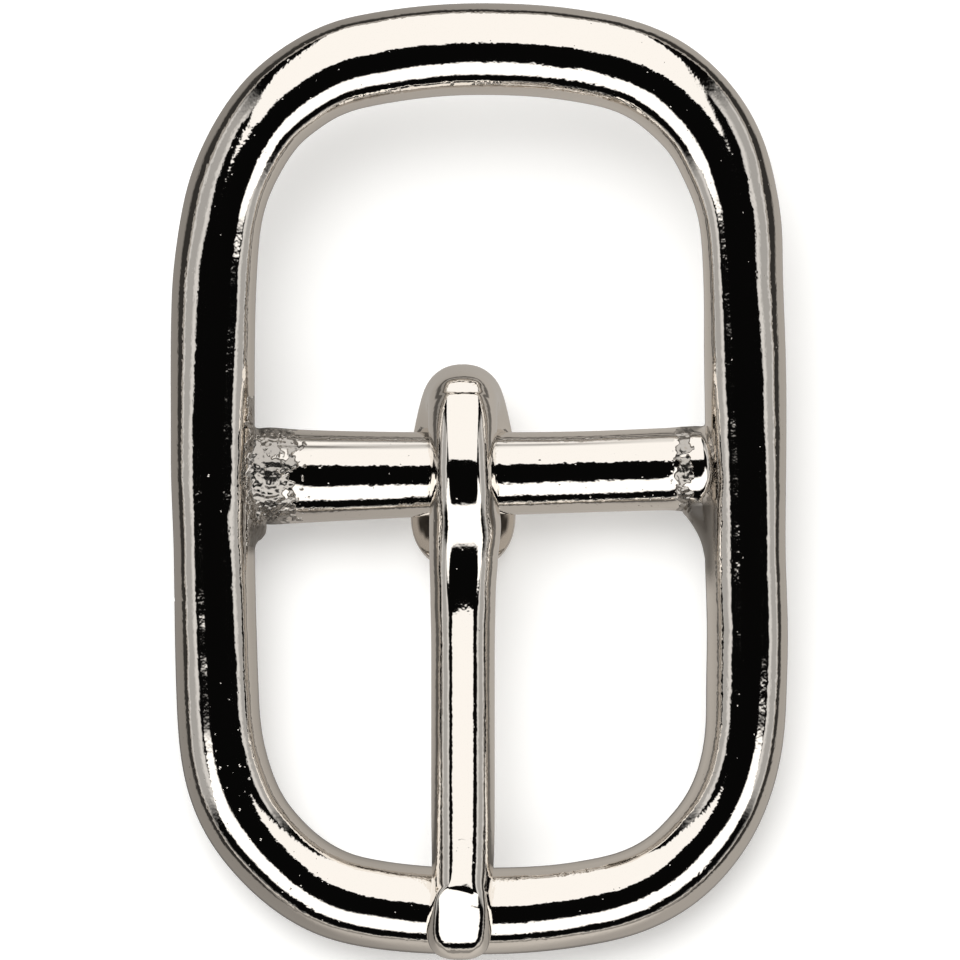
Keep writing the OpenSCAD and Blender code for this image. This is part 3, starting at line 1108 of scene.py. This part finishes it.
# %% The floor
floor_size = 3.0
bpy.ops.mesh.primitive_plane_add(size=floor_size, location=(0, 0, cad_low.z))
floor = bpy.context.object
floor.name = "floor"
bpy.ops.object.transform_apply(location=True, rotation=True, scale=True)
print("floor at", round(1000 * cad_low.z, 3))
floor_material = bpy.data.materials.new("pale floor")
floor_material.use_nodes = True
table = floor_material.node_tree
paper = table.nodes["Principled BSDF"]
for socket, value in (
        ("Base Color", (0.88, 0.88, 0.87, 1.0)), ("Roughness", 0.9), ("Specular IOR Level", 0.0),
        ("Emission Color", (1.0, 1.0, 1.0, 1.0)), ("Emission Strength", 0.26)):
    paper.inputs[socket].default_value = value

# %% [markdown]
# What the metal reflects of the floor is painted light and shade that the floor gives off: a painted
# shadow right under the ring's wire, pale inside and close round it, bright below it, then dark, and
# pale far out. Each is a soft step of a distance on the floor.

# %% What the metal sees of the floor
spot = add(table, "ShaderNodeSeparateXYZ", Vector=add(table, "ShaderNodeTexCoord").outputs["Object"])
floor_x, floor_y = spot.outputs[0], spot.outputs[1]


def out_from_middle(across, along):
    """Distance from the middle, 1 on an ellipse with these half axes in millimetres."""
    x = math_node(table, "DIVIDE", floor_x, across * MM)
    y = math_node(table, "DIVIDE", floor_y, along * MM)
    return math_node(table, "SQRT", plus(table, times(table, x, x), times(table, y, y)))


under_buckle = ramped(table, out_from_middle(8.5, 13.0), 0.8, 1.15, 0.10, 0.0)
to_the_right = ramped(table, floor_x, -0.012, 0.014, 0.0, 0.14)
near_buckle = ramped(table, out_from_middle(22.5, 38.0), 0.85, 1.05, 1.0, 0.0)
round_buckle = times(table, near_buckle, plus(table, to_the_right, 0.24))
off_middle = times(table, math_node(table, "ABSOLUTE", floor_x), 0.6)
below_buckle = ramped(table, plus(table, floor_y, off_middle), -0.015, -0.023, 0.0, 0.24)
far_out = ramped(table, out_from_middle(70.0, 75.0), 0.85, 1.15, 0.0, 0.35)
least_glow = 0.035
table_glow = plus(table, under_buckle, least_glow, round_buckle, below_buckle, far_out)

# %% [markdown]
# The painted shadow under the ring follows its outline, a box with round corners, so its distance
# is found from the middle of a corner's bend. The camera sees the paper and the metal the table.

# %% The painted shadow under the ring
corner_across, corner_along, wire_bend = 2.2 * MM, 8.2 * MM, 7.3 * MM
past_corner = []
for value, corner in ((floor_x, corner_across), (floor_y, corner_along)):
    outside = math_node(table, "SUBTRACT", math_node(table, "ABSOLUTE", value), corner)
    outside = math_node(table, "MAXIMUM", outside, 0.0)
    past_corner.append(times(table, outside, outside))
from_corner = math_node(table, "SQRT", plus(table, *past_corner))
from_wire = math_node(table, "ABSOLUTE", math_node(table, "SUBTRACT", from_corner, wire_bend))
contact_shadow = ramped(table, from_wire, 1.5 * MM, 3.0 * MM, 0.35, 1.0)
table_glow = times(table, table_glow, contact_shadow)
seen_in_metal = add(table, "ShaderNodeEmission", Color=(1.0, 0.94, 0.87, 1.0), Strength=table_glow)
seen_by_camera(table, seen_in_metal.outputs[0], paper.outputs[0],
               table.nodes["Material Output"].inputs["Surface"])
floor.data.materials.append(floor_material)
print("nodes in the floor's material:", len(table.nodes))

# %% [markdown]
# One lamp lights the floor and nothing else. A wide disk gives soft shadows, and neither the
# camera nor the metal sees it.

# %% The lamp
lamp_data = bpy.data.lights.new("floor lamp", "AREA")
lamp_data.shape = "DISK"
lamp_data.size = 0.7
lamp_data.energy = 4.0
lamp = bpy.data.objects.new("floor lamp", lamp_data)
lamp.location = (-0.15, 0.25, 0.7)
lamp.rotation_euler = (lamp.location * -1).to_track_quat("-Z", "Y").to_euler()
lamp.visible_camera = False
lamp.visible_glossy = False
bpy.context.scene.collection.objects.link(lamp)
bpy.context.scene.view_settings.view_transform = "Standard"
print("lamp made:", lamp.name)
